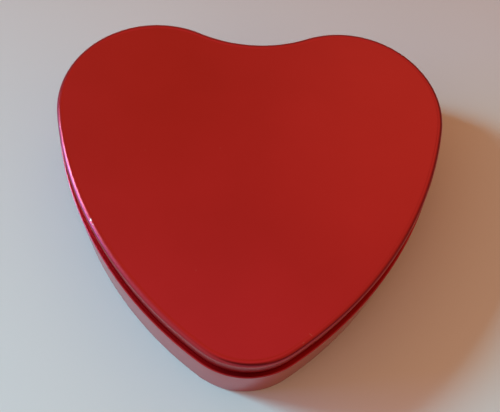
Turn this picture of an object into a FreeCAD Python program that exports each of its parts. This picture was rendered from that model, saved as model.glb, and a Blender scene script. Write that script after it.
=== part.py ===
import FreeCAD, Part
import math
import os

# Heart-shaped tin box with a lift-off lid, in millimetres.
# +Z is up and the tip of the heart points to -Y. The origin is on the table, at the middle of the base.
# The reference outline is the outside of the lid's skirt, and an offset is measured outward from it.

# Heart outline of the lid's skirt: tangent arcs, mirrored about the YZ plane
lid_width = 150.0
lid_length = 139.0
lobe_radius = 37.8
notch_radius = 53.5
side_radius = 141.5
tip_radius = 27.5

# Heights above the table
tin_height = 36.5
ledge_height = 24.8

# Tinplate, with the inner radius of each bend
sheet = 0.3
rim_bend = 1.4
lid_curl_bore = 0.2
neck_curl_bore = 0.45
neck_bend = 0.5
ledge_bend = 0.1
foot_bend = 0.5
hem_bend = 0.6
base_bend = 0.5
curl_turn = 250.0

# How the pieces sit in each other
wall_proud = 1.3
lid_taper = 0.5  # how far the lid's skirt leans in towards its lower edge
ledge_fall = 15.0  # degrees, down towards the neck
lid_clearance = 0.3
lid_seat_gap = 0.2
lid_headroom = 0.5
hem_flat = 0.6
flange_length = 0.4
flange_side_gap = 0.1

# Lock seam of the wall, in the notch of the heart
seam_width = 4.0
seam_layers = 3
seam_end_gap = 0.4
seam_line_width = 0.25
seam_line_depth = 0.12

# Offsets and heights that follow from the sizes above
lid_curl = lid_curl_bore + sheet
neck_curl = neck_curl_bore + sheet
rim = rim_bend + sheet
neck_out = -lid_taper - 2.0 * lid_curl - lid_clearance
neck_top = tin_height - sheet - lid_headroom
wall_out = wall_proud
wall_in = wall_out - sheet
ledge_edge = ledge_bend + sheet
foot = foot_bend + sheet
hem = hem_bend + sheet
flange_out = wall_in - flange_side_gap
flange_end = foot
hem_height = flange_end + flange_length + base_bend
fall = math.radians(ledge_fall)
ledge_centre = (wall_in - ledge_bend, ledge_height - ledge_edge)


def above_ledge(offset, distance):
    """Height of a point at an offset that stands a distance clear of the sloping top of the ledge."""
    start = ledge_centre[0] - ledge_edge * math.sin(fall)
    top = ledge_centre[1] + ledge_edge * math.cos(fall)
    return top + (offset - start) * math.tan(fall) + distance / math.cos(fall)


lid_edge = above_ledge(-lid_taper - lid_curl, lid_curl + lid_seat_gap) - lid_curl


class Arc:
    """One arc of the outline: its centre, its radius at offset 0 and the angles it runs between."""

    def __init__(self, centre, radius, start, end, outward=1.0):
        self.centre = centre
        self.radius = radius
        self.start = start
        self.end = end
        self.outward = outward

    def point(self, offset, angle, height):
        reach = self.radius + self.outward * offset
        x = self.centre[0] + reach * math.cos(angle)
        y = self.centre[1] + reach * math.sin(angle)
        return FreeCAD.Vector(x, y, height)

    def edge(self, offset, height):
        middle = 0.5 * (self.start + self.end)
        points = [self.point(offset, angle, height) for angle in (self.start, middle, self.end)]
        return Part.Arc(*points).toShape()

    def axis(self):
        return FreeCAD.Vector(self.centre[0], self.centre[1], 0.0)


def direction(start, end):
    return math.atan2(end[1] - start[1], end[0] - start[0])


def heart_outline():
    """The six arcs, clockwise from the notch: notch, lobe, side, tip, side, lobe."""
    lobe = (0.5 * lid_width - lobe_radius, 0.5 * lid_length - lobe_radius)
    tip = (0.0, tip_radius - 0.5 * lid_length)
    notch_rise = math.sqrt((lobe_radius + notch_radius) ** 2 - lobe[0] ** 2)
    notch = (0.0, lobe[1] + notch_rise)
    # The side arc touches the tip arc and the lobe arc from outside, so its centre is known from both
    span = math.hypot(lobe[0] - tip[0], lobe[1] - tip[1])
    to_tip = side_radius - tip_radius
    to_lobe = side_radius - lobe_radius
    along = (to_tip ** 2 - to_lobe ** 2 + span ** 2) / (2.0 * span)
    across = math.sqrt(to_tip ** 2 - along ** 2)
    run = ((lobe[0] - tip[0]) / span, (lobe[1] - tip[1]) / span)
    side = (tip[0] + along * run[0] - across * run[1], tip[1] + along * run[1] + across * run[0])

    notch_end = direction(notch, lobe)
    lobe_start = direction(lobe, notch)
    lobe_end = direction(side, lobe)
    side_end = direction(side, tip)
    right = [
        Arc(notch, notch_radius, math.pi - notch_end - 2.0 * math.pi, notch_end, -1.0),
        Arc(lobe, lobe_radius, lobe_start, lobe_end),
        Arc(side, side_radius, lobe_end, side_end),
        Arc(tip, tip_radius, side_end, -math.pi - side_end),
    ]
    left = [mirrored(arc) for arc in (right[2], right[1])]
    return right + left


def mirrored(arc):
    return Arc((-arc.centre[0], arc.centre[1]), arc.radius, math.pi - arc.end, math.pi - arc.start, arc.outward)


outline = heart_outline()
notch_arc = outline[0]


def bend(centre, radius, start, end):
    """Part of a circle in the cross-section, as its start, middle and end points, angles in degrees."""
    angles = [math.radians(start + share * (end - start)) for share in (0.0, 0.5, 1.0)]
    return [(centre[0] + radius * math.cos(a), centre[1] + radius * math.sin(a)) for a in angles]


def section_face(pieces, arc, angle):
    """A closed cross-section of points and bends, stood upright on the outline at one angle of an arc."""
    edges = []
    first = None
    last = None
    for piece in pieces:
        points = [arc.point(offset, angle, height) for offset, height in piece]
        if last is not None and last.distanceToPoint(points[0]) > 1e-7:
            edges.append(Part.makeLine(last, points[0]))
        if len(points) == 3:
            edges.append(Part.Arc(*points).toShape())
        first = first or points[0]
        last = points[-1]
    edges.append(Part.makeLine(last, first))
    return Part.Face(Part.Wire(edges))


def swept_along(arc, pieces, start, end):
    face = section_face(pieces, arc, start)
    return face.revolve(arc.axis(), FreeCAD.Vector(0, 0, 1), math.degrees(end - start))


def swept_round(pieces):
    """A cross-section carried all the way round the heart."""
    parts = [swept_along(arc, pieces, arc.start, arc.end) for arc in outline]
    return parts[0].multiFuse(parts[1:]).removeSplitter()


def plate(offset, bottom, thickness):
    """A flat heart plate whose edge lies at an offset from the outline."""
    wire = Part.Wire([arc.edge(offset, bottom) for arc in outline])
    return Part.Face(wire).extrude(FreeCAD.Vector(0, 0, thickness))


def strip_in_notch(width, inner, outer, bottom, top):
    """An upright strip of the wall's seam, centred in the notch."""
    half = 0.5 * width / notch_arc.radius
    middle = 0.5 * (notch_arc.start + notch_arc.end)
    section = [[(inner, bottom)], [(outer, bottom)], [(outer, top)], [(inner, top)]]
    return swept_along(notch_arc, section, middle - half, middle + half)


def make_lid():
    rim_centre = (-rim, tin_height - rim)
    curl_centre = (-lid_taper - lid_curl, lid_edge + lid_curl)
    # The skirt is the straight line that touches both circles, and lean is the angle of its outward side
    apart = math.hypot(curl_centre[0] - rim_centre[0], curl_centre[1] - rim_centre[1])
    lean = math.degrees(direction(rim_centre, curl_centre) + math.acos((rim - lid_curl) / apart))
    section = [
        bend(rim_centre, rim, 90.0, lean),
        bend(curl_centre, lid_curl, lean, -curl_turn),
        bend(curl_centre, lid_curl_bore, -curl_turn, lean),
        bend(rim_centre, rim_bend, lean, 90.0),
    ]
    panel = plate(-rim, tin_height - sheet, sheet)
    return panel.fuse(swept_round(section)).removeSplitter()


def make_body_wall():
    neck_in = neck_out - sheet
    curl_centre = (neck_out - neck_curl, neck_top - neck_curl)
    corner_offset = neck_out + neck_bend
    corner_centre = (corner_offset, above_ledge(corner_offset, neck_bend))
    foot_centre = (wall_out - foot, foot)
    leg_centre = (foot_centre[0] - hem_flat, hem)
    leg_out = leg_centre[0] - hem
    section = [
        bend(curl_centre, neck_curl, curl_turn, 0.0),
        bend(corner_centre, neck_bend, 180.0, 270.0 + ledge_fall),
        bend(ledge_centre, ledge_edge, 90.0 + ledge_fall, 0.0),
        bend(foot_centre, foot, 0.0, -90.0),
        bend(leg_centre, hem, -90.0, -180.0),
        [(leg_out, hem_height)],
        [(leg_out + sheet, hem_height)],
        bend(leg_centre, hem_bend, -180.0, -90.0),
        bend(foot_centre, foot_bend, -90.0, 0.0),
        bend(ledge_centre, ledge_bend, 0.0, 90.0 + ledge_fall),
        bend(corner_centre, neck_bend + sheet, 270.0 + ledge_fall, 180.0),
        bend(curl_centre, neck_curl_bore, 0.0, curl_turn),
    ]
    wall = swept_round(section)

    # Folded layers of the lock seam inside the wall and inside the neck, and its closed joint line outside
    fold = seam_layers * sheet
    wall_low = hem_height + sheet + seam_end_gap
    wall_high = ledge_centre[1]
    neck_low = corner_centre[1]
    neck_high = neck_top - 2.0 * neck_curl - seam_end_gap
    folds = [
        strip_in_notch(seam_width, wall_in - fold, wall_in, wall_low, wall_high),
        strip_in_notch(seam_width, neck_in - fold, neck_in, neck_low, neck_high),
    ]
    joint_line = strip_in_notch(
        seam_line_width, wall_out - seam_line_depth, wall_out + seam_line_depth, foot, wall_high
    )
    return wall.multiFuse(folds).cut(joint_line)


def make_base_panel():
    bend_centre = (flange_out - sheet - base_bend, hem_height - base_bend)
    section = [
        bend(bend_centre, base_bend + sheet, 90.0, 0.0),
        [(flange_out, flange_end)],
        [(flange_out - sheet, flange_end)],
        bend(bend_centre, base_bend, 0.0, 90.0),
    ]
    panel = plate(bend_centre[0], hem_height, sheet)
    return panel.fuse(swept_round(section)).removeSplitter()


pieces = {
    "lid": make_lid(),
    "body_wall": make_body_wall(),
    "base_panel": make_base_panel(),
}

os.makedirs("parts", exist_ok=True)
for name, shape in pieces.items():
    box = shape.optimalBoundingBox()
    print(
        f"{name}: valid {shape.isValid()}, solids {len(shape.Solids)}, volume {shape.Volume:.1f} mm3,"
        f" X {box.XMin:.2f} to {box.XMax:.2f}, Y {box.YMin:.2f} to {box.YMax:.2f},"
        f" Z {box.ZMin:.2f} to {box.ZMax:.2f}"
    )
    shape.exportStep(f"parts/{name}.step")
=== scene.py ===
import math
import bpy
import numpy as np
from mathutils import Matrix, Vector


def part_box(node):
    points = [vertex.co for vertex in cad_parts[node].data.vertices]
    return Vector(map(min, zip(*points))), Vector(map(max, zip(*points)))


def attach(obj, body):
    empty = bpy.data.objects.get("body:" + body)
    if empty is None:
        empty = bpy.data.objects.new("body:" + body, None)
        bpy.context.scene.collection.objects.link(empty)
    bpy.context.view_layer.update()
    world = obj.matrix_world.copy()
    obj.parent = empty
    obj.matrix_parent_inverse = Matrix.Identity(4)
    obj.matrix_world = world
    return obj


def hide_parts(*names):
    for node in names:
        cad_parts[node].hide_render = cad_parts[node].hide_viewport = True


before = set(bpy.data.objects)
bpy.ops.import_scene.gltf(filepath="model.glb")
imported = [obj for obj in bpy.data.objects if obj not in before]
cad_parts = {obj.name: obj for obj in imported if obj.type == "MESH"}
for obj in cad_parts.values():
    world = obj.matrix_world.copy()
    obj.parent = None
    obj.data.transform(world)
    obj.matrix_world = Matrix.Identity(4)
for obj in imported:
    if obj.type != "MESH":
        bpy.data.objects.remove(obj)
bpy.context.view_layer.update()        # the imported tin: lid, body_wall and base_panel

lidLow, lidHigh = (np.array(corner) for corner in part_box("lid"))
wallHigh = np.array(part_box("body_wall")[1])
baseLow, baseHigh = (np.array(corner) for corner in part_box("base_panel"))
print("frame loaded:", sorted(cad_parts))

# the heart, as the outside of the lid's skirt: six arcs that meet without a corner, in metres
heart = {
    "width": lidHigh[0] - lidLow[0],
    "length": lidHigh[1] - lidLow[1],
    "lobeRadius": 0.0378,
    "notchRadius": 0.0535,
    "sideRadius": 0.1415,
    "tipRadius": 0.0275,
    "spacing": 0.00065,      # between points along the outline
    "seamReach": 0.0024,     # half of the stretch of the notch that has closer points
    "seamPoints": 25,
}
tinplate = {"thickness": 0.0003, "sharpAngle": 40.0}


def heading(start, end):
    return math.atan2(end[1] - start[1], end[0] - start[0])


# Every point of the outline is an arc's centre plus its radius along a direction.
# Adding an offset to that radius (taking it away in the notch) gives a parallel outline.
def heartPath():
    lobe = np.array([heart["width"] / 2 - heart["lobeRadius"], heart["length"] / 2 - heart["lobeRadius"]])
    tip = np.array([0.0, heart["tipRadius"] - heart["length"] / 2])
    rise = math.sqrt((heart["lobeRadius"] + heart["notchRadius"]) ** 2 - lobe[0] ** 2)
    notch = np.array([0.0, lobe[1] + rise])
    span = np.linalg.norm(lobe - tip)
    toTip = heart["sideRadius"] - heart["tipRadius"]
    toLobe = heart["sideRadius"] - heart["lobeRadius"]
    along = (toTip ** 2 - toLobe ** 2 + span ** 2) / (2 * span)
    across = math.sqrt(toTip ** 2 - along ** 2)
    run = (lobe - tip) / span
    side = tip + along * run + across * np.array([-run[1], run[0]])
    notchEnd, lobeStart = heading(notch, lobe), heading(lobe, notch)
    lobeEnd, sideEnd = heading(side, lobe), heading(side, tip)
    flip = np.array([-1.0, 1.0])
    arcs = [
        (notch, heart["notchRadius"], -1.0, -math.pi - notchEnd, notchEnd),
        (lobe, heart["lobeRadius"], 1.0, lobeStart, lobeEnd),
        (side, heart["sideRadius"], 1.0, lobeEnd, sideEnd),
        (tip, heart["tipRadius"], 1.0, sideEnd, -math.pi - sideEnd),
        (side * flip, heart["sideRadius"], 1.0, math.pi - sideEnd, math.pi - lobeEnd),
        (lobe * flip, heart["lobeRadius"], 1.0, math.pi - lobeEnd, math.pi - lobeStart),
    ]
    centres, radii, sides, angles = [], [], [], []
    for index, (centre, radius, outward, start, end) in enumerate(arcs):
        steps = math.ceil(radius * abs(end - start) / heart["spacing"])
        turn = np.linspace(start, end, steps, endpoint=False)
        if index == 0:      # closer points where the wall's seam runs down the notch
            reach = heart["seamReach"] / radius
            middle = (start + end) / 2
            close = np.linspace(middle - reach, middle + reach, heart["seamPoints"])
            turn = np.sort(np.concatenate([turn[np.abs(turn - middle) > reach], close]))
        centres.append(np.repeat(centre[None, :], len(turn), 0))
        radii.append(np.full(len(turn), radius))
        sides.append(np.full(len(turn), outward))
        angles.append(turn)
    path = {
        "centre": np.concatenate(centres),
        "radius": np.concatenate(radii),
        "outward": np.concatenate(sides),
        "angle": np.concatenate(angles),
    }
    path["way"] = np.c_[np.cos(path["angle"]), np.sin(path["angle"])]
    line = path["centre"] + path["radius"][:, None] * path["way"]
    gaps = np.linalg.norm(np.roll(line, -1, 0) - line, axis=1)
    path["run"] = np.concatenate([[0.0], np.cumsum(gaps)])
    path["count"] = len(line)
    return path


path = heartPath()
print("heart outline:", path["count"], "points")


# rows of points parallel to the outline: offset outward and height, one value for each row or each point
def carried(offset, height):
    grid = (len(offset), path["count"])
    offset = np.broadcast_to(np.asarray(offset, float).reshape(len(offset), -1), grid)
    height = np.broadcast_to(np.asarray(height, float).reshape(len(height), -1), grid)
    reach = path["radius"] + path["outward"] * offset
    flat = path["centre"] + reach[..., None] * path["way"]
    return np.concatenate([flat, height[..., None]], axis=2)


# part of a circle in a cross-section: centre plus radius times (cosine, sine)
def bend(centre, radius, start, end, count):
    turn = np.radians(np.linspace(start, end, count))
    return np.c_[centre[0] + radius * np.cos(turn), centre[1] + radius * np.sin(turn)]


# points between two points of a cross-section, without the ends
def between(start, end, count):
    return np.linspace(start, end, count + 2)[1:-1]


# Rows of points become quads between neighbouring rows and columns, closed round the heart.
# A pole closes the first or last row to one point. slots gives the material of each band of quads.
def buildSheet(name, rows, slots, materials, closed=False, poles=()):
    count = rows.shape[1]
    column = np.arange(count)
    following = (column + 1) % count
    bands = len(rows) if closed else len(rows) - 1
    low = (np.arange(bands) * count)[:, None]
    high = (((np.arange(bands) + 1) % len(rows)) * count)[:, None]
    quads = np.stack([low + column, low + following, high + following, high + column], axis=2)
    points = rows.reshape(-1, 3)
    faces = quads.reshape(-1, 4).tolist()
    faceSlots = np.repeat(slots, count).tolist()
    steps = np.linalg.norm(np.diff(rows[:, 0], axis=0), axis=1)
    depth = np.concatenate([[0.0], np.cumsum(steps), [0.0]])
    left = np.broadcast_to(path["run"][:-1], (bands, count))
    right = np.broadcast_to(path["run"][1:], (bands, count))
    upper = np.broadcast_to(depth[:bands, None], (bands, count))
    lower = np.broadcast_to(depth[1:bands + 1, None], (bands, count))
    uv = np.stack([left, upper, right, upper, right, lower, left, lower], axis=2).reshape(-1, 2)
    for pole, row, slot in poles:
        first = (row % len(rows)) * count
        ring = np.stack([first + following, first + column], axis=1)
        ring = ring if row == 0 else ring[:, ::-1]
        points = np.vstack([points, pole])
        fan = np.c_[np.full(count, len(points) - 1), ring[:, ::-1]]
        faces += fan.tolist()
        faceSlots += [slot] * count
        uv = np.vstack([uv, points[fan.reshape(-1)][:, :2]])
    mesh = bpy.data.meshes.new(name)
    mesh.from_pydata(points.tolist(), [], faces)
    for material in materials:
        mesh.materials.append(material)
    mesh.polygons.foreach_set("material_index", faceSlots)
    mesh.uv_layers.new(name="UVMap").data.foreach_set("uv", uv.astype(np.float32).ravel())
    mesh.shade_smooth()
    mesh.set_sharp_from_angle(angle=math.radians(tinplate["sharpAngle"]))
    piece = bpy.data.objects.new(name, mesh)
    bpy.context.scene.collection.objects.link(piece)
    return piece


# node, with its settings and its inputs: a socket given as an input is linked
def addNode(tree, kind, inputs=None, **settings):
    node = tree.nodes.new(kind)
    for key, value in settings.items():
        setattr(node, key, value)
    for key, value in (inputs or {}).items():
        if isinstance(value, bpy.types.NodeSocket):
            tree.links.new(value, node.inputs[key])
        else:
            node.inputs[key].default_value = value
    return node


def newMaterial(name):
    material = bpy.data.materials.new(name)
    material.use_nodes = True
    tree = material.node_tree
    return material, tree, tree.nodes["Principled BSDF"]


def ramp(tree, value, fromRange, toRange):
    inputs = {"Value": value, "From Min": fromRange[0], "From Max": fromRange[1],
              "To Min": toRange[0], "To Max": toRange[1]}
    return addNode(tree, "ShaderNodeMapRange", inputs).outputs["Result"]


def mixColour(tree, factor, first, second):
    node = addNode(tree, "ShaderNodeMix", data_type="RGBA")
    for socket, value in (("Factor_Float", factor), ("A_Color", first), ("B_Color", second)):
        target = next(i for i in node.inputs if i.identifier == socket)
        if isinstance(value, bpy.types.NodeSocket):
            tree.links.new(value, target)
        else:
            target.default_value = value
    return next(o for o in node.outputs if o.identifier == "Result_Color")


def noise(tree, coords, scale, detail):
    inputs = {"Vector": coords, "Scale": scale, "Detail": detail}
    return addNode(tree, "ShaderNodeTexNoise", inputs).outputs["Fac"]


def stretched(tree, coords, scale, turn=0.0):
    inputs = {"Vector": coords, "Rotation": (0.0, 0.0, turn), "Scale": scale}
    return addNode(tree, "ShaderNodeMapping", inputs).outputs["Vector"]


def bump(tree, height, distance, under=None, invert=False):
    inputs = {"Height": height, "Strength": 1.0, "Distance": distance}
    if under:
        inputs["Normal"] = under
    return addNode(tree, "ShaderNodeBump", inputs, invert=invert).outputs["Normal"]


def combine(tree, operation, first, second):
    return addNode(tree, "ShaderNodeMath", {0: first, 1: second}, operation=operation).outputs[0]


lacquer = {
    "deep": (0.385, 0.010, 0.024, 1.0),
    "bright": (0.425, 0.013, 0.030, 1.0),
    "bare": (0.78, 0.70, 0.71, 1.0),
    "cloudScale": 22.0,
    "cloudDetail": 3.0,
    "cloudRange": (0.3, 0.7),
    "grainScale": (45.0, 4500.0, 4500.0),    # rolling lines of the sheet under the lacquer, along X
    "grainDetail": 2.0,
    "peelScale": 1300.0,
    "peelDetail": 1.0,
    "roughness": (0.28, 0.33),
    "roughRange": (0.12, 0.42),
    "grainHeight": 0.0000002,
    "peelHeight": 0.0000004,
    "panelCoat": 0.28,                       # roughness of the clear coat: the lid's panel,
    "skirtCoat": 0.30,                       # its skirt, drawn out in the press,
    "wallCoat": 0.23,                        # and the wall
    "coatIor": 1.36,
    "edgeTint": (1.0, 0.10, 0.14, 1.0),      # the dye keeps the metal red at a low angle too
    "markDepth": 0.00003,
}
lidMarks = [         # worn places: middle, turn in degrees, length, width, strength
    ((-0.0560, -0.0199), -60.0, 0.0014, 0.0008, 0.30),
    ((-0.0550, -0.0217), -60.0, 0.0008, 0.0006, 0.12),
    ((-0.0720, 0.0177), -85.0, 0.0008, 0.0005, 0.20),
    ((0.0206, -0.0583), -42.0, 0.0018, 0.0004, 0.10),
    ((0.0181, -0.0611), 35.0, 0.0012, 0.0004, 0.10),
    ((-0.0183, -0.0372), 0.0, 0.0007, 0.0006, 0.05),
    ((-0.0119, 0.0115), 0.0, 0.0007, 0.0006, 0.05),
    ((-0.0396, 0.0091), 0.0, 0.0007, 0.0006, 0.04),
]


# a soft-edged ellipse on the lid, seen from above: full strength in its middle half, 0 at its edge
def markMask(tree, coords, middle, turn, length, width, strength):
    inputs = {"Vector": coords, "Location": (*middle, 0.0), "Rotation": (0.0, 0.0, math.radians(turn)),
              "Scale": (length / 2, width / 2, 1.0)}
    local = addNode(tree, "ShaderNodeMapping", inputs, vector_type="TEXTURE").outputs["Vector"]
    reach = addNode(tree, "ShaderNodeVectorMath", {0: local}, operation="LENGTH").outputs["Value"]
    return ramp(tree, reach, (0.5, 1.0), (strength, 0.0))


# red see-through lacquer on bright tinplate: a tinted metal under a clear coat, with the sheet's rolling
# lines, a soft orange peel, and bare metal in the worn places
def redLacquer(name, coordinate, coatRoughness, marks=()):
    material, tree, shader = newMaterial(name)
    coords = addNode(tree, "ShaderNodeTexCoord").outputs[coordinate]
    cloud = noise(tree, coords, lacquer["cloudScale"], lacquer["cloudDetail"])
    grain = noise(tree, stretched(tree, coords, lacquer["grainScale"]), 1.0, lacquer["grainDetail"])
    peel = noise(tree, coords, lacquer["peelScale"], lacquer["peelDetail"])
    shade = ramp(tree, cloud, lacquer["cloudRange"], (0.0, 1.0))
    colour = mixColour(tree, shade, lacquer["deep"], lacquer["bright"])
    worn = None
    for mark in marks:
        mask = markMask(tree, coords, *mark)
        worn = combine(tree, "MAXIMUM", worn, mask) if worn else mask
    if worn:
        colour = mixColour(tree, worn, colour, lacquer["bare"])
    tree.links.new(colour, shader.inputs["Base Color"])
    shader.inputs["Metallic"].default_value = 1.0
    rough = combine(tree, "MULTIPLY", cloud, grain)
    rough = ramp(tree, rough, lacquer["roughRange"], lacquer["roughness"])
    tree.links.new(rough, shader.inputs["Roughness"])
    shader.inputs["Specular Tint"].default_value = lacquer["edgeTint"]
    shader.inputs["Coat Weight"].default_value = 1.0
    shader.inputs["Coat Roughness"].default_value = coatRoughness
    shader.inputs["Coat IOR"].default_value = lacquer["coatIor"]
    skin = bump(tree, grain, lacquer["grainHeight"])
    skin = bump(tree, peel, lacquer["peelHeight"], skin)
    if worn:
        skin = bump(tree, worn, lacquer["markDepth"], skin, invert=True)
    tree.links.new(skin, shader.inputs["Normal"])
    return material


bareSheet = {
    "dull": (0.60, 0.59, 0.56, 1.0),
    "bright": (0.76, 0.75, 0.72, 1.0),
    "cloudScale": 30.0,
    "cloudDetail": 4.0,
    "cloudRange": (0.3, 0.7),
    "grainScale": (30.0, 2200.0, 2200.0),
    "grainDetail": 3.0,
    "grainRange": (0.3, 0.7),
    "grainHeight": 0.0000016,
    "scratchScale": (160.0, 1500.0, 1500.0),
    "scratchTurn": 0.6,
    "scratchDetail": 1.0,
    "scratchRange": (0.66, 0.72),
    "roughness": (0.24, 0.40),
}


# unprinted tinplate: a grey metal with rolling lines and fine scratches
def bareTinplate(name, coordinate):
    material, tree, shader = newMaterial(name)
    coords = addNode(tree, "ShaderNodeTexCoord").outputs[coordinate]
    cloud = noise(tree, coords, bareSheet["cloudScale"], bareSheet["cloudDetail"])
    grain = noise(tree, stretched(tree, coords, bareSheet["grainScale"]), 1.0, bareSheet["grainDetail"])
    turned = stretched(tree, coords, bareSheet["scratchScale"], bareSheet["scratchTurn"])
    scratch = noise(tree, turned, 1.0, bareSheet["scratchDetail"])
    scratch = ramp(tree, scratch, bareSheet["scratchRange"], (0.0, 1.0))
    shade = ramp(tree, cloud, bareSheet["cloudRange"], (0.0, 1.0))
    grey = mixColour(tree, shade, bareSheet["dull"], bareSheet["bright"])
    tree.links.new(grey, shader.inputs["Base Color"])
    shader.inputs["Metallic"].default_value = 1.0
    rough = ramp(tree, grain, bareSheet["grainRange"], bareSheet["roughness"])
    tree.links.new(rough, shader.inputs["Roughness"])
    height = combine(tree, "SUBTRACT", grain, scratch)
    tree.links.new(bump(tree, height, bareSheet["grainHeight"]), shader.inputs["Normal"])
    return material


cutSteel = {
    "light": (0.50, 0.48, 0.46, 1.0),
    "dark": (0.30, 0.25, 0.22, 1.0),
    "spotScale": 900.0,
    "spotDetail": 2.0,
    "spotRange": (0.45, 0.65),
    "roughness": (0.35, 0.6),
}


# sheared edge of the sheet: dull steel with the first dots of rust
def rawEdge(name):
    material, tree, shader = newMaterial(name)
    coords = addNode(tree, "ShaderNodeTexCoord").outputs["Object"]
    spots = noise(tree, coords, cutSteel["spotScale"], cutSteel["spotDetail"])
    spots = ramp(tree, spots, cutSteel["spotRange"], (0.0, 1.0))
    grey = mixColour(tree, spots, cutSteel["light"], cutSteel["dark"])
    tree.links.new(grey, shader.inputs["Base Color"])
    rough = ramp(tree, spots, (0.0, 1.0), cutSteel["roughness"])
    tree.links.new(rough, shader.inputs["Roughness"])
    shader.inputs["Metallic"].default_value = 1.0
    return material


lidRed = redLacquer("redLacquerLid", "Object", lacquer["panelCoat"], lidMarks)
skirtRed = redLacquer("redLacquerSkirt", "Object", lacquer["skirtCoat"], lidMarks)
wallRed = redLacquer("redLacquerWall", "UV", lacquer["wallCoat"])
panelTin = bareTinplate("tinplatePanel", "Object")
wallTin = bareTinplate("tinplateWall", "UV")
edgeSteel = rawEdge("cutEdge")
print("materials made")

lidSheet = {
    "rim": 0.0017,           # outer radius of the top edge
    "curl": 0.0005,          # outer radius of the rolled lower edge
    "curlTurn": 250.0,
    "taper": 0.0005,         # how far the skirt leans in towards its lower edge
    "bead": 15.0,            # slope of the inner side of the rim, in degrees
    "hollow": 0.0004,        # width in which the slope runs out into the panel
    "wave": 0.00006,         # slow unevenness of the panel
    "waveLengths": (0.083, 0.097),
    "waveFade": 0.010,       # width of the panel's edge in which the wave fades out
    "wobble": 0.00003,       # slow unevenness of the skirt
    "wobbleShift": 0.4,
    "wobbleDepth": 0.003,    # it is full this far below the rim
    "rings": 40,
    "crowding": 1.6,         # the rings stand closer towards the rim
    "underRings": 10,
    "middle": (0.0, 0.004),  # the panel's rings shrink towards this point
    "panelOverlap": 2,       # bands of the rim that have the panel's finish
    "hollowPoints": 5,
    "rimPoints": (16, 7),    # points of each bend: outside and inside of the sheet
    "skirtPoints": (8, 3),
    "curlPoints": (19, 13),
}
ripples = {"counts": (7, 17, 29), "shares": (1.0, 0.7, 0.5)}


# slow unevenness round the heart, always inward: a few sine waves of the distance along the outline
def unevenness(depth, shift):
    around = 2 * math.pi * path["run"][:-1] / path["run"][-1]
    shifts = shift * np.arange(1, len(ripples["counts"]) + 1)
    waves = np.sin(np.outer(ripples["counts"], around) + shifts[:, None])
    return depth * (np.array(ripples["shares"]) @ waves / sum(ripples["shares"]) - 1.0)


# The panel's rings are the rim's ring shrunk towards the middle. Its height dips by a sine wave along X
# times a cosine wave along Y, which fades out near the rim.
def panelRows(ring, shares, middle, top, fade, wave):
    middle = np.array(middle)
    flat = middle + shares[:, None, None] * (ring[None, :, :2] - middle)
    inset = (1.0 - shares)[:, None] * np.linalg.norm(ring[:, :2] - middle, axis=1)
    phase = 2 * math.pi * flat / np.array(lidSheet["waveLengths"])
    swell = np.sin(phase[..., 0]) * np.cos(phase[..., 1])
    height = top - wave * np.clip(inset / fade, 0.0, 1.0) * (1.0 + swell) / 2
    return np.concatenate([flat, height[..., None]], axis=2)


# The section runs over the outside of the rim and skirt to the rolled edge and back up the inside.
# The skirt is the straight line that touches the circles of the rim and of the rolled edge.
def makeLid():
    t = tinplate["thickness"]
    rim, curl, turn = lidSheet["rim"], lidSheet["curl"], lidSheet["curlTurn"]
    start = 90.0 + lidSheet["bead"]
    rimCentre = (-rim, lidHigh[2] - rim)
    inset = np.linspace(lidSheet["hollow"], 0.0, lidSheet["hollowPoints"] + 1)[:-1]
    slope = math.tan(math.radians(lidSheet["bead"]))
    sink = slope * (inset - inset ** 2 / (2 * lidSheet["hollow"]))
    edge = bend(rimCentre, rim, start, start, 1)[0]
    hollow = np.c_[edge[0] - inset, edge[1] - sink]
    curlCentre = (-lidSheet["taper"] - curl, lidLow[2] + curl)
    apart = math.dist(rimCentre, curlCentre)
    lean = math.degrees(heading(rimCentre, curlCentre) + math.acos((rim - curl) / apart))
    rimPoints, skirtPoints = lidSheet["rimPoints"], lidSheet["skirtPoints"]
    curlPoints = lidSheet["curlPoints"]
    over = bend(rimCentre, rim, start, lean, rimPoints[0])
    roll = bend(curlCentre, curl, lean, -turn, curlPoints[0])
    outer = np.vstack([hollow, over, between(over[-1], roll[0], skirtPoints[0]), roll])
    back = bend(curlCentre, curl - t, -turn, lean, curlPoints[1])
    turned = bend(rimCentre, rim - t, lean, start, rimPoints[1])
    inner = np.vstack([back, between(back[-1], turned[0], skirtPoints[1]), turned])
    section = np.vstack([outer, inner])
    below = np.clip((rimCentre[1] - section[:, 1]) / lidSheet["wobbleDepth"], 0.0, 1.0)
    offset = section[:, :1] + below[:, None] * unevenness(lidSheet["wobble"], lidSheet["wobbleShift"])
    sheet = carried(offset, section[:, 1])
    shares = np.linspace(0.0, 1.0, lidSheet["rings"] + 1)[1:-1]
    shares = 1.0 - (1.0 - shares) ** lidSheet["crowding"]
    underShares = np.linspace(1.0, 0.0, lidSheet["underRings"] + 1)[1:-1]
    panelTop = hollow[0, 1]
    middle, fade, wave = (lidSheet[key] for key in ("middle", "waveFade", "wave"))
    above = panelRows(sheet[0], shares, middle, panelTop, fade, wave)
    under = panelRows(sheet[-1], underShares, middle, panelTop - t, fade, wave)
    rows = np.concatenate([above, sheet, under])
    slots = np.zeros(len(rows) - 1, int)
    edgeBand = len(above) + len(outer) - 1
    slots[len(above) + len(hollow) + lidSheet["panelOverlap"]:edgeBand] = 3      # skirt
    slots[edgeBand] = 2          # cut edge
    slots[edgeBand + 1:] = 1     # inside
    top = (*middle, above[0, :, 2].mean())
    ceiling = (*middle, under[-1, :, 2].mean())
    poles = [(top, 0, 0), (ceiling, -1, 1)]
    return buildSheet("lidShell", rows, slots, [lidRed, panelTin, edgeSteel, skirtRed], poles=poles)


lidShell = makeLid()
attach(lidShell, "lid")
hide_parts("lid")
print("lid made")

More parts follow.
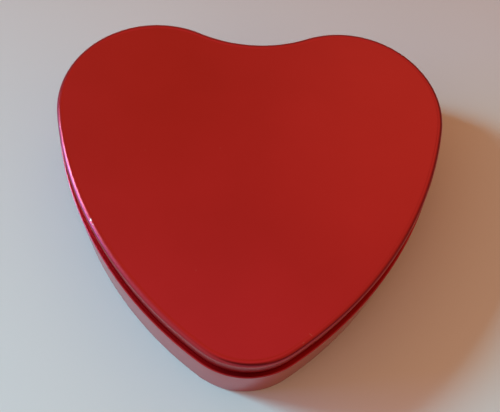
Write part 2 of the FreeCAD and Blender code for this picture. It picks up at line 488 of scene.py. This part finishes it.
wallSheet = {
    "proud": wallHigh[0] - lidHigh[0],
    "lidGap": 0.0003,        # between the lid's rolled edge and the neck
    "seatGap": 0.0002,       # between the lid's rolled edge and the ledge
    "curl": 0.00075,         # outer radius of the rolled top edge
    "curlTurn": 250.0,
    "neckBend": 0.0005,      # inner radius where the neck meets the ledge
    "ledgeBend": 0.0004,     # outer radius of the ledge's edge
    "ledgeFall": 15.0,       # the ledge falls towards the neck, in degrees
    "footBend": 0.0008,      # outer radius at the foot of the wall
    "hemBend": 0.0009,       # outer radius where the hem turns up under the base
    "hemFlat": 0.0006,       # width of the hem that stands on the table
    "hemHeight": baseHigh[2] - tinplate["thickness"],
    "wobble": 0.00004,       # slow unevenness of the wall
    "wobbleShift": 1.9,
    "wobbleFade": 0.004,     # height over which it fades out at the ledge and at the foot
    "seamLine": 0.00025,     # width of the lock seam's joint line, outside
    "seamDepth": 0.00012,
    "foldWidth": 0.0040,     # folded layers of the lock seam, inside
    "foldDepth": 0.0009,
    "foldEnd": 0.0004,       # bare length above and below the folded layers
    "curlPoints": (19, 13),  # points of each bend: outside and inside of the sheet
    "neckPoints": (4, 5),
    "cornerPoints": (6, 5),
    "ledgePoints": (9, 5),
    "wallPoints": (14, 12),
    "footPoints": (11, 7),
    "hemPoints": (7, 5),
}


# upright points of a cross-section, ends included
def upright(offset, low, high, count):
    return np.c_[np.full(count, offset), np.linspace(low, high, count)]


# The section runs down the outside from the rolled top, under the hem and up the inside.
# The ledge is a straight line, at an angle, that touches the circles of its two bends.
# The lock seam moves the points near the middle of the notch: a fine groove outside, folded layers inside.
# The groove's depth is e to the power of minus the fourth power of the distance from its middle line.
def makeWall():
    t = tinplate["thickness"]
    w = wallSheet
    out = w["proud"]
    neck = -lidSheet["taper"] - 2 * lidSheet["curl"] - w["lidGap"]
    fall = math.radians(w["ledgeFall"])
    across = out - w["ledgeBend"] + lidSheet["taper"] + lidSheet["curl"]
    lidSeat = lidSheet["curl"] + w["seatGap"] + w["ledgeBend"]
    ledgeRise = lidLow[2] + lidSheet["curl"] + (across * math.sin(fall) - lidSeat) / math.cos(fall)
    ledgeCentre = (out - w["ledgeBend"], ledgeRise)
    across = ledgeCentre[0] - neck - w["neckBend"]
    cornerRise = (w["ledgeBend"] + w["neckBend"] - across * math.sin(fall)) / math.cos(fall)
    cornerCentre = (neck + w["neckBend"], ledgeCentre[1] + cornerRise)
    curlCentre = (neck - w["curl"], wallHigh[2] - w["curl"])
    footCentre = (out - w["footBend"], w["footBend"])
    legCentre = (footCentre[0] - w["hemFlat"], w["hemBend"])
    leg = legCentre[0] - w["hemBend"]
    foldLow = w["hemHeight"] + t + w["foldEnd"]
    foldHigh = wallHigh[2] - 2 * w["curl"] - w["foldEnd"]
    step = t / 3                 # width of the sides and ends of the folded layers
    outer = np.vstack([
        bend(curlCentre, w["curl"], w["curlTurn"], 0.0, w["curlPoints"][0]),
        between((neck, curlCentre[1]), (neck, cornerCentre[1]), w["neckPoints"][0]),
        bend(cornerCentre, w["neckBend"], 180.0, 270.0 + w["ledgeFall"], w["cornerPoints"][0]),
        bend(ledgeCentre, w["ledgeBend"], 90.0 + w["ledgeFall"], 0.0, w["ledgePoints"][0]),
        between((out, ledgeCentre[1]), (out, footCentre[1]), w["wallPoints"][0]),
        bend(footCentre, w["footBend"], 0.0, -90.0, w["footPoints"][0]),
        bend(legCentre, w["hemBend"], -90.0, -180.0, w["hemPoints"][0]),
        [(leg, w["hemHeight"])],
    ])
    hem = np.vstack([
        [(leg + t, w["hemHeight"])],
        bend(legCentre, w["hemBend"] - t, -180.0, -90.0, w["hemPoints"][1]),
        bend(footCentre, w["footBend"] - t, -90.0, 0.0, w["footPoints"][1]),
        [(out - t, foldLow - step)],
    ])
    wallFold = upright(out - t, foldLow, ledgeCentre[1] - step, w["wallPoints"][1])
    turns = np.vstack([
        bend(ledgeCentre, w["ledgeBend"] - t, 0.0, 90.0 + w["ledgeFall"], w["ledgePoints"][1]),
        bend(cornerCentre, w["neckBend"] + t, 270.0 + w["ledgeFall"], 180.0, w["cornerPoints"][1]),
    ])
    neckFold = upright(neck - t, cornerCentre[1] + step, foldHigh, w["neckPoints"][1])
    rolled = np.vstack([
        [(neck - t, foldHigh + step)],
        bend(curlCentre, w["curl"] - t, 0.0, w["curlTurn"], w["curlPoints"][1]),
    ])
    inner = [hem, wallFold, turns, neckFold, rolled]
    section = np.vstack([outer, *inner])
    height = section[:, 1]
    fade = w["wobbleFade"]
    wallPart = np.clip((ledgeCentre[1] - height) / fade, 0.0, 1.0) * np.clip(height / fade, 0.0, 1.0)
    offset = section[:, :1] + wallPart[:, None] * unevenness(w["wobble"], w["wobbleShift"])
    fromMiddle = np.where(path["outward"] < 0, np.abs(path["angle"] + math.pi / 2) * path["radius"], 1.0)
    groove = np.exp(-(fromMiddle / (w["seamLine"] / 2)) ** 4)
    isOuter = (np.arange(len(section)) < len(outer)) & (height < ledgeCentre[1])
    offset = offset - w["seamDepth"] * groove * isOuter[:, None]
    folded = [np.full(len(rows), rows is wallFold or rows is neckFold) for rows in inner]
    isFold = np.concatenate([np.zeros(len(outer)), *folded])
    offset = offset - w["foldDepth"] * (fromMiddle < w["foldWidth"] / 2 + step) * isFold[:, None]
    rows = carried(offset, height)
    slots = np.zeros(len(rows), int)
    slots[len(outer) - 1] = 2    # cut edge of the hem
    slots[len(outer):] = 1       # inside
    slots[-1] = 2                # cut edge of the rolled top
    return buildSheet("wallShell", rows, slots, [wallRed, wallTin, edgeSteel], closed=True)


wallShell = makeWall()
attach(wallShell, "tin_body")
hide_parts("body_wall")
print("wall made")

baseSheet = {
    "gap": 0.0001,           # between the base's turned-down edge and the wall
    "bend": 0.0008,          # outer radius of its bend
    "bendPoints": (8, 6),
    "rings": 16,
    "middle": (0.0, 0.004),
    "sag": 0.00012,          # slow unevenness of the plate
    "sagFade": 0.04,         # width of the plate's edge in which it fades out
}


# The section runs over the outside of the turned-down edge and back up its inside, between two panels.
def makeBase():
    t = tinplate["thickness"]
    flange = wallSheet["proud"] - t - baseSheet["gap"]
    centre = (flange - baseSheet["bend"], baseHigh[2] - baseSheet["bend"])
    radius = baseSheet["bend"]
    outerPoints, innerPoints = baseSheet["bendPoints"]
    outer = np.vstack([bend(centre, radius, 90.0, 0.0, outerPoints), [(flange, baseLow[2])]])
    inner = np.vstack([[(flange - t, baseLow[2])], bend(centre, radius - t, 0.0, 90.0, innerPoints)])
    section = np.vstack([outer, inner])
    sheet = carried(section[:, :1], section[:, 1])
    shares = np.linspace(0.0, 1.0, baseSheet["rings"] + 1)[1:-1]
    middle, fade, sag = (baseSheet[key] for key in ("middle", "sagFade", "sag"))
    above = panelRows(sheet[0], shares, middle, baseHigh[2], fade, sag)
    under = panelRows(sheet[-1], shares[::-1], middle, baseHigh[2] - t, fade, sag)
    rows = np.concatenate([above, sheet, under])
    slots = np.zeros(len(rows) - 1, int)
    slots[len(above) + len(outer) - 1] = 1       # cut edge
    top = (*middle, above[0, :, 2].mean())
    floor = (*middle, under[-1, :, 2].mean())
    poles = [(top, 0, 0), (floor, -1, 0)]
    return buildSheet("basePlate", rows, slots, [panelTin, edgeSteel], poles=poles)


basePlate = makeBase()
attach(basePlate, "tin_body")
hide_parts("base_panel")
print("base made")

table = {"radius": 1.6, "corners": 96, "colour": (0.68, 0.65, 0.63, 1.0), "roughness": 0.85, "gloss": 0.1}


# a round flat top: radius times (cosine, sine), at height 0
def makeTable():
    turn = np.linspace(0.0, 2 * math.pi, table["corners"], endpoint=False)
    points = table["radius"] * np.c_[np.cos(turn), np.sin(turn), np.zeros(len(turn))]
    mesh = bpy.data.meshes.new("tableTop")
    mesh.from_pydata(points.tolist(), [], [list(range(len(points)))])
    material, tree, shader = newMaterial("paleTable")
    shader.inputs["Base Color"].default_value = table["colour"]
    shader.inputs["Roughness"].default_value = table["roughness"]
    shader.inputs["Specular IOR Level"].default_value = table["gloss"]
    mesh.materials.append(material)
    top = bpy.data.objects.new("tableTop", mesh)
    bpy.context.scene.collection.objects.link(top)


makeTable()
print("table made")

# soft light: a cool window on the left and behind, a low strip of light under it, a warm ceiling,
# and walls that darken to the right
room = {
    "ceiling": (0.66, 0.30, 0.13, 1.0),
    "frontWall": (0.47, 0.64, 0.72, 1.0),
    "backWall": (0.38, 0.30, 0.23, 1.0),
    "rightWall": (0.08, 0.05, 0.04, 1.0),
    "backTurn": (0.0, 0.5),
    "rightTurn": (-0.2, 0.4),
    "ceilingRise": (0.25, 0.60),
    "patches": [     # soft places of another colour: direction, cosines of outer and inner edge, colour
        ((-0.80, -0.58, 0.15), (0.50, 0.90), (0.82, 0.77, 0.66, 1.0)),
        ((0.0, -0.77, 0.64), (0.88, 0.97), (0.10, 0.05, 0.04, 1.0)),
        ((-0.11, 0.60, 0.79), (0.985, 0.998), (0.76, 0.33, 0.06, 1.0)),
        ((0.30, 0.53, 0.79), (0.96, 0.99), (1.09, 0.57, 0.26, 1.0)),
        ((-0.05, 0.05, 1.0), (0.93, 0.995), (1.00, 0.48, 0.38, 1.0)),
        ((-0.191, 0.463, 0.866), (0.975, 0.998), (0.85, 0.385, 0.15, 1.0)),
    ],
}
windows = [          # angles in degrees: the turn is counted from +X, the size is as seen from the tin
    {
        "turn": 167.0,
        "rise": 33.0,
        "distance": 2.0,
        "size": (11.0, 12.0),
        "aim": (-0.14, -0.25),
        "spread": 34.0,
        "radiance": (1.12, 3.35, 4.1),
    },
    {
        "turn": 176.0,
        "rise": 8.0,
        "distance": 4.0,
        "size": (26.0, 8.0),
        "aim": (0.0, 0.0),
        "spread": 180.0,
        "radiance": (3.5, 16.0, 45.0),
    },
]


def softRamp(tree, value, low, high):
    node = addNode(tree, "ShaderNodeMapRange", {"Value": value, "From Min": low, "From Max": high},
                   interpolation_type="SMOOTHSTEP")
    return node.outputs["Result"]


def lightRoom():
    world = bpy.data.worlds.new("room")
    world.use_nodes = True
    tree = world.node_tree
    coords = addNode(tree, "ShaderNodeTexCoord").outputs["Generated"]
    axes = addNode(tree, "ShaderNodeSeparateXYZ", {"Vector": coords}).outputs
    behind = softRamp(tree, axes["Y"], *room["backTurn"])
    rightward = softRamp(tree, axes["X"], *room["rightTurn"])
    above = softRamp(tree, axes["Z"], *room["ceilingRise"])
    colour = mixColour(tree, behind, room["frontWall"], room["backWall"])
    colour = mixColour(tree, rightward, colour, room["rightWall"])
    colour = mixColour(tree, above, colour, room["ceiling"])
    for towards, (outer, inner), tone in room["patches"]:
        facing = addNode(tree, "ShaderNodeVectorMath", {0: coords, 1: towards}, operation="DOT_PRODUCT")
        share = softRamp(tree, facing.outputs["Value"], outer, inner)
        colour = mixColour(tree, share, colour, tone)
    tree.links.new(colour, tree.nodes["Background"].inputs["Color"])
    bpy.context.scene.world = world
    for pane in windows:
        lightWindow(pane)


# A pane stands at a turn and a rise from the tin and faces a point of the table.
# Its power is pi times its area times the radiance wanted.
def lightWindow(pane):
    turn, rise = math.radians(pane["turn"]), math.radians(pane["rise"])
    way = np.array([math.cos(turn) * math.cos(rise), math.sin(turn) * math.cos(rise), math.sin(rise)])
    place = pane["distance"] * way
    back = place - np.array([*pane["aim"], 0.0])
    back = back / np.linalg.norm(back)
    right = np.cross((0.0, 0.0, 1.0), back)
    right = right / np.linalg.norm(right)
    light = bpy.data.lights.new("window", "AREA")
    light.shape = "RECTANGLE"
    wide, tall = (math.tan(math.radians(angle / 2)) for angle in pane["size"])
    light.size = 2 * pane["distance"] * wide
    light.size_y = 2 * pane["distance"] * tall
    light.spread = math.radians(pane["spread"])
    strength = max(pane["radiance"])
    light.energy = math.pi * light.size * light.size_y * strength
    light.color = [value / strength for value in pane["radiance"]]
    lamp = bpy.data.objects.new("window", light)
    bpy.context.scene.collection.objects.link(lamp)
    stand = np.eye(4)
    stand[:3] = np.c_[right, np.cross(back, right), back, place]
    lamp.matrix_world = Matrix(stand.tolist())


lightRoom()

# the camera: aim point, angles in degrees, distance, and focal length and sensor width in millimetres
view = {
    "aim": (-0.0003, -0.0121, lidHigh[2]),
    "azimuth": -6.14,
    "elevation": 63.98,
    "roll": 7.91,
    "distance": 0.2355,
    "lens": 47.26,
    "sensor": 36.0,
    "near": 0.005,
}


def makeCamera():
    azimuth, elevation, roll = (math.radians(view[key]) for key in ("azimuth", "elevation", "roll"))
    back = np.array([math.sin(azimuth) * math.cos(elevation), -math.cos(azimuth) * math.cos(elevation),
                     math.sin(elevation)])
    level = np.array([math.cos(azimuth), math.sin(azimuth), 0.0])
    steep = np.cross(back, level)
    right = math.cos(roll) * level + math.sin(roll) * steep
    up = math.cos(roll) * steep - math.sin(roll) * level
    place = np.array(view["aim"]) + view["distance"] * back
    data = bpy.data.cameras.new("camera")
    data.sensor_width = view["sensor"]
    data.lens = view["lens"]
    data.clip_start = view["near"]
    camera = bpy.data.objects.new("camera", data)
    bpy.context.scene.collection.objects.link(camera)
    turn = np.eye(4)
    turn[:3] = np.c_[right, up, back, place]
    camera.matrix_world = Matrix(turn.tolist())
    bpy.context.scene.camera = camera


makeCamera()
bpy.context.scene.view_settings.view_transform = "Standard"
print("room, windows and camera set")
